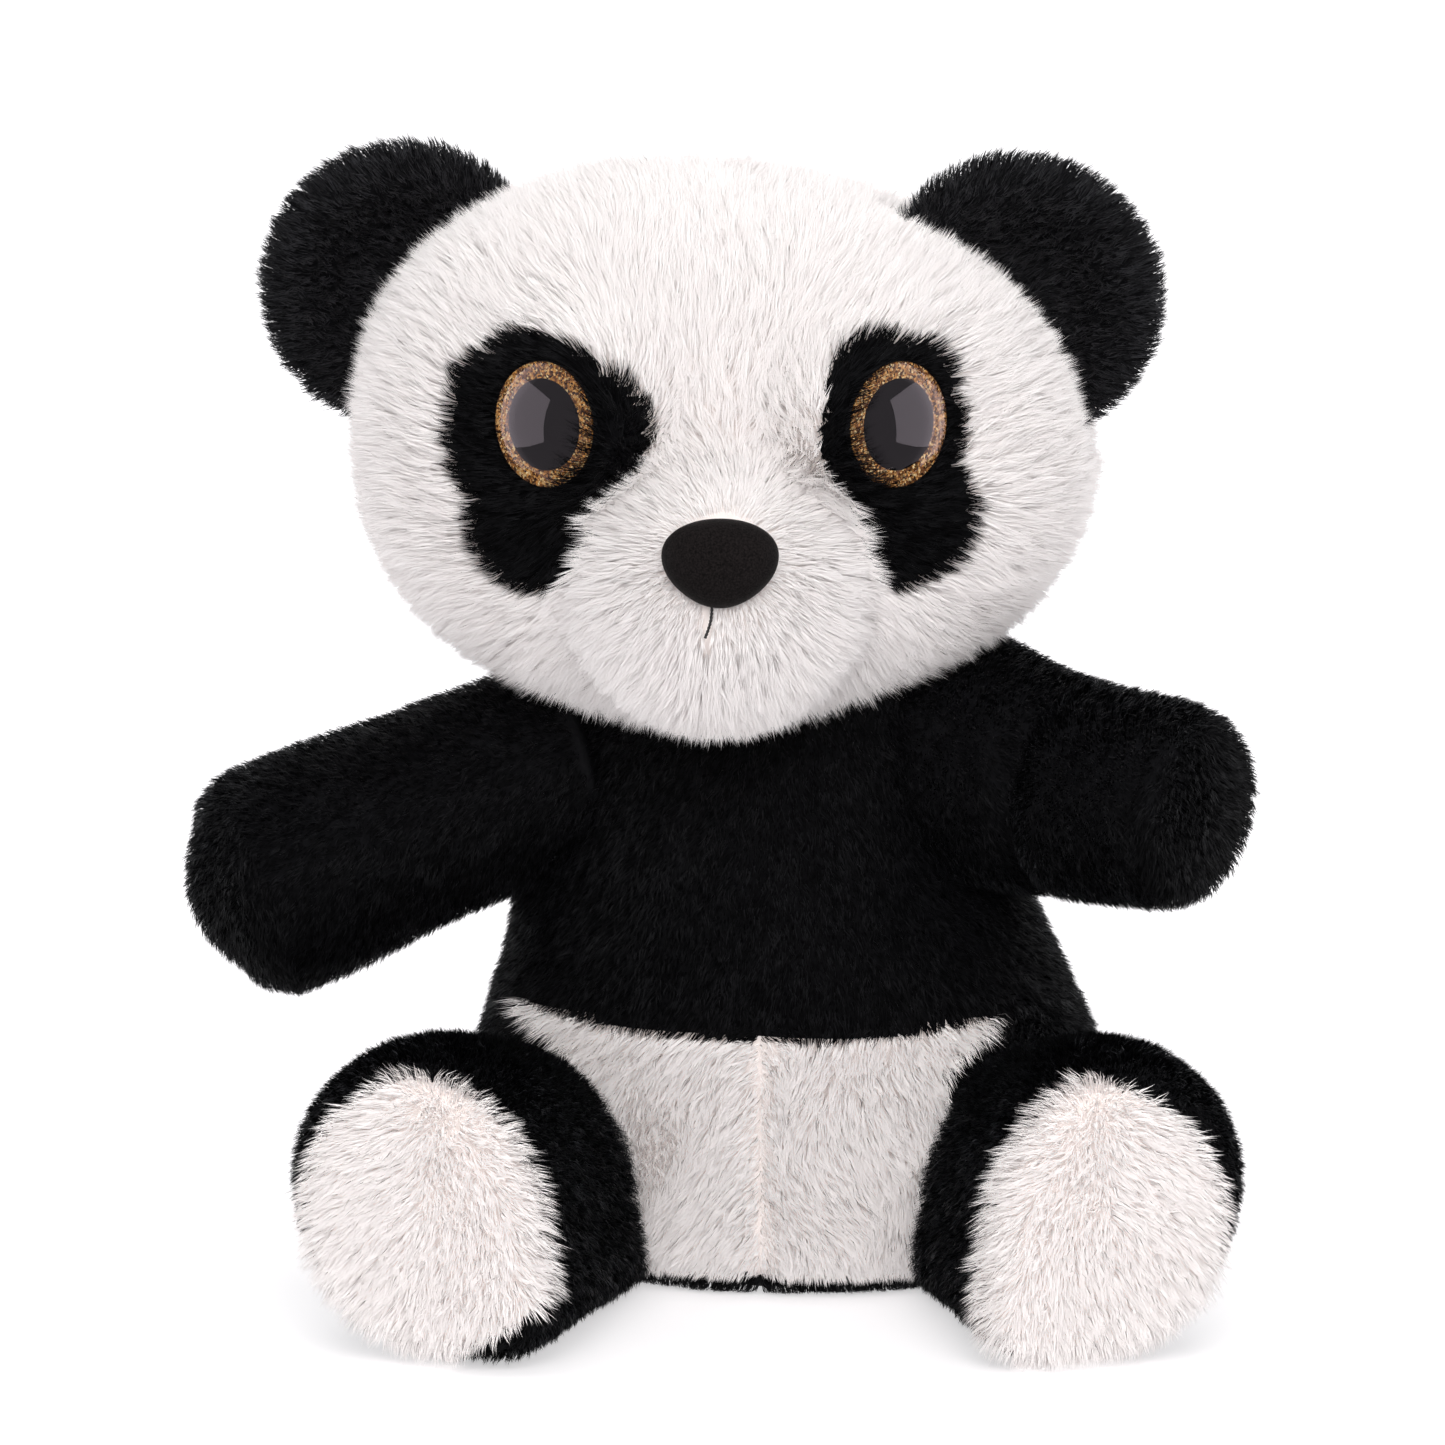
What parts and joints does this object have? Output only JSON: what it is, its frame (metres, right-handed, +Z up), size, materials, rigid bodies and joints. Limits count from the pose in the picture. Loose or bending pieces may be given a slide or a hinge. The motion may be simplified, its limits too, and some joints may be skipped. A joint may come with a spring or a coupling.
{
  "type": "plush panda",
  "caption": "Seated stuffed panda with long-pile white and short-pile black plush, domed glitter eyes, flocked nose, outstretched arms and feet facing forwards.",
  "frame": {"origin": "middle of the box around the seated toy, on the surface it sits on", "axes": "+Z up, the panda faces -Y, +X is the panda's own left"},
  "size_m": [0.2233, 0.1598, 0.2465],
  "materials": {
    "white_plush": "matte",
    "black_plush": "matte",
    "fibre_filling": "matte",
    "pellet_bag": "matte",
    "eye_lens": "gloss",
    "eye_glitter": "gloss",
    "eye_black": "gloss",
    "washer": "satin",
    "nose_flock": "matte",
    "thread": "matte"
  },
  "bodies": {
    "torso": {"seat_gusset": "black_plush", "back_panel_left": "black_plush", "back_panel_right": "black_plush", "chest_panel": "black_plush", "belly_panel_left": "white_plush", "belly_panel_right": "white_plush", "torso_filling": "fibre_filling", "pellet_bag": "pellet_bag", "neck_thread": "thread"},
    "head": {"face_panel": "white_plush", "head_back_left": "white_plush", "head_back_right": "white_plush", "muzzle_panel": "white_plush", "left_eye_patch": "black_plush", "right_eye_patch": "black_plush", "head_filling": "fibre_filling", "nose": "nose_flock", "nose_washer": "washer", "mouth_thread": "thread", "left_eye_lens": "eye_lens", "left_eye_iris": "eye_glitter", "left_eye_pupil": "eye_black", "left_eye_backing": "eye_black", "left_eye_washer": "washer", "left_ear_front": "black_plush", "left_ear_back": "black_plush", "left_ear_wadding": "fibre_filling", "right_eye_lens": "eye_lens", "right_eye_iris": "eye_glitter", "right_eye_pupil": "eye_black", "right_eye_backing": "eye_black", "right_eye_washer": "washer", "right_ear_front": "black_plush", "right_ear_back": "black_plush", "right_ear_wadding": "fibre_filling"},
    "left_arm": {"left_arm_front": "black_plush", "left_arm_back": "black_plush", "left_paw_cap": "black_plush", "left_arm_filling": "fibre_filling"},
    "left_leg": {"left_leg_inner": "black_plush", "left_leg_outer": "black_plush", "left_sole": "white_plush", "left_leg_filling": "fibre_filling"},
    "right_arm": {"right_arm_front": "black_plush", "right_arm_back": "black_plush", "right_paw_cap": "black_plush", "right_arm_filling": "fibre_filling"},
    "right_leg": {"right_leg_inner": "black_plush", "right_leg_outer": "black_plush", "right_sole": "white_plush", "right_leg_filling": "fibre_filling"}
  },
  "joints": [
    {"name": "neck_turn", "type": "hinge", "parent": "torso", "child": "head", "pos_m": [0.001, 0.016, 0.1254], "axis": [0, 0, 1], "range_deg": [-20, 20], "stiffness_Nm_per_rad": 0.2},
    {"name": "right_shoulder_swing", "type": "hinge", "parent": "torso", "child": "right_arm", "pos_m": [-0.042, 0.022, 0.109], "axis": [-0.1392, 0.9903, 0], "range_deg": [-25, 25], "stiffness_Nm_per_rad": 0.08},
    {"name": "left_shoulder_swing", "type": "hinge", "parent": "torso", "child": "left_arm", "pos_m": [0.0495, 0.018, 0.113], "axis": [-0.6157, -0.788, 0], "range_deg": [-25, 25], "stiffness_Nm_per_rad": 0.08},
    {"name": "right_hip_lift", "type": "hinge", "parent": "torso", "child": "right_leg", "pos_m": [-0.038, 0.011, 0.033], "axis": [-0.9613, 0.2756, 0], "range_deg": [0, 16], "stiffness_Nm_per_rad": 0.15},
    {"name": "left_hip_lift", "type": "hinge", "parent": "torso", "child": "left_leg", "pos_m": [0.0615, 0.011, 0.033], "axis": [-0.9763, -0.2164, 0], "range_deg": [0, 16], "stiffness_Nm_per_rad": 0.15}
  ]
}
